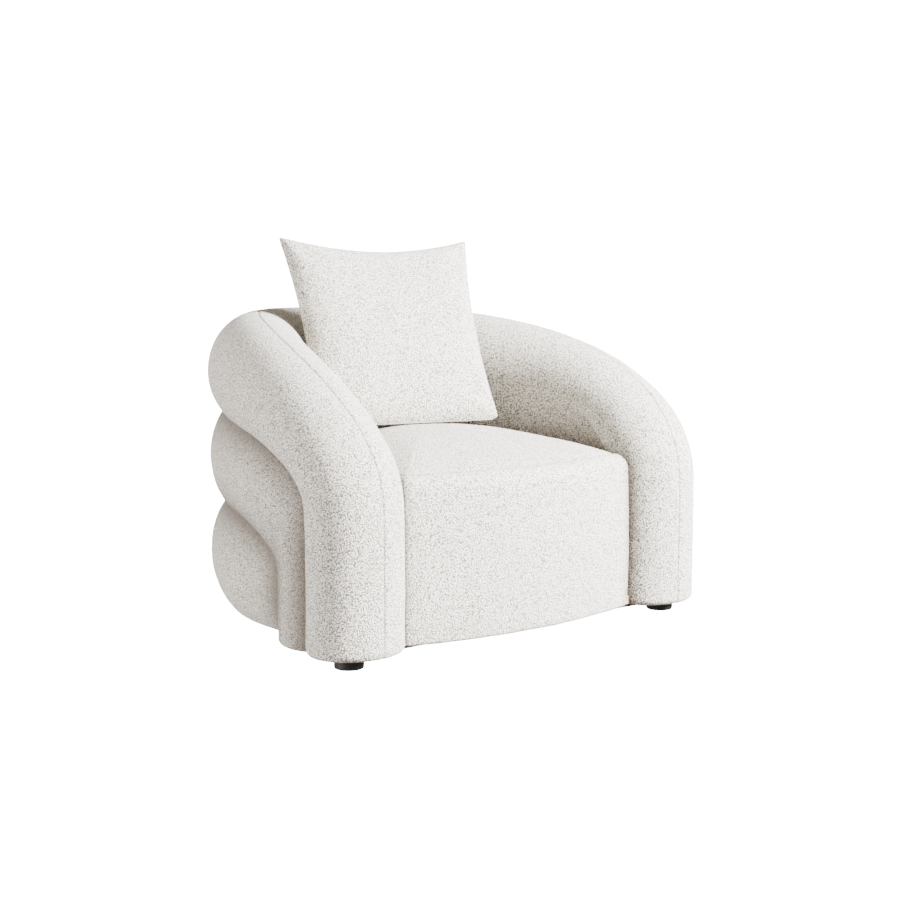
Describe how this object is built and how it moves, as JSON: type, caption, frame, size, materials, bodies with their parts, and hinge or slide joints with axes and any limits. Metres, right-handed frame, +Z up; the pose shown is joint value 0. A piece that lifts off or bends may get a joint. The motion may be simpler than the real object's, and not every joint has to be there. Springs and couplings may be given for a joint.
{
  "type": "upholstered armchair",
  "caption": "Low lounge armchair: stacked padded rolls sweep round the back and down to the floor as arms, round a fixed padded seat with a loose square cushion.",
  "frame": {"origin": "on the floor under the middle of the chair's outline", "axes": "+Z up, the chair faces -Y, +X is its left-to-right width as seen from the front"},
  "size_m": [1.045, 0.9879, 0.8412],
  "materials": {
    "boucle": "matt looped wool weave",
    "foam": "matt open cell foam",
    "plywood": "raw",
    "timber": "raw",
    "spring_steel": "drawn wire and plated sheet",
    "felt": "matt felt and fibre",
    "dark_cloth": "matt non-woven cloth",
    "foot_plastic": "satin black",
    "zip_plastic": "woven tape"
  },
  "bodies": {
    "chair": {"top_roll_cover": "boucle", "middle_roll_cover": "boucle", "bottom_roll_cover": "boucle", "inside_lining_cover": "boucle", "seat_cover": "boucle", "top_roll_foam": "foam", "middle_roll_foam": "foam", "bottom_roll_foam": "foam", "inside_lining_foam": "foam", "seat_foam": "foam", "seat_border_foam": "foam", "left_wall": "plywood", "back_wall": "plywood", "right_wall": "plywood", "left_base_plate": "plywood", "back_base_plate": "plywood", "right_base_plate": "plywood", "top_bow": "plywood", "front_cross_plate": "plywood", "back_cross_plate": "plywood", "seat_front_rail": "timber", "seat_back_rail": "timber", "seat_left_rail": "timber", "seat_right_rail": "timber", "seat_centre_rail": "timber", "front_left_corner_block": "timber", "front_right_corner_block": "timber", "back_left_corner_block": "timber", "back_right_corner_block": "timber", "seat_spring_1": "spring_steel", "seat_spring_2": "spring_steel", "seat_spring_3": "spring_steel", "seat_spring_4": "spring_steel", "front_spring_clip_1": "spring_steel", "front_spring_clip_2": "spring_steel", "front_spring_clip_3": "spring_steel", "front_spring_clip_4": "spring_steel", "back_spring_clip_1": "spring_steel", "back_spring_clip_2": "spring_steel", "back_spring_clip_3": "spring_steel", "back_spring_clip_4": "spring_steel", "front_left_foot_screw": "spring_steel", "front_right_foot_screw": "spring_steel", "back_left_foot_screw": "spring_steel", "back_right_foot_screw": "spring_steel", "seat_felt": "felt", "dust_cover": "dark_cloth", "front_left_foot": "foot_plastic", "front_right_foot": "foot_plastic", "back_left_foot": "foot_plastic", "back_right_foot": "foot_plastic"},
    "cushion": {"cushion_cover": "boucle", "cushion_insert": "felt", "cushion_zip": "zip_plastic"},
    "zip_slider": {"cushion_zip_slider": "spring_steel"}
  },
  "joints": [
    {"name": "cushion_lift", "type": "slide", "parent": "chair", "child": "cushion", "axis": [0, 0, 1], "range_m": [0, 0.3]},
    {"name": "zip_slide", "type": "slide", "parent": "cushion", "child": "zip_slider", "axis": [0.9613, -0.2756, 0], "range_m": [0, 0.38]}
  ]
}
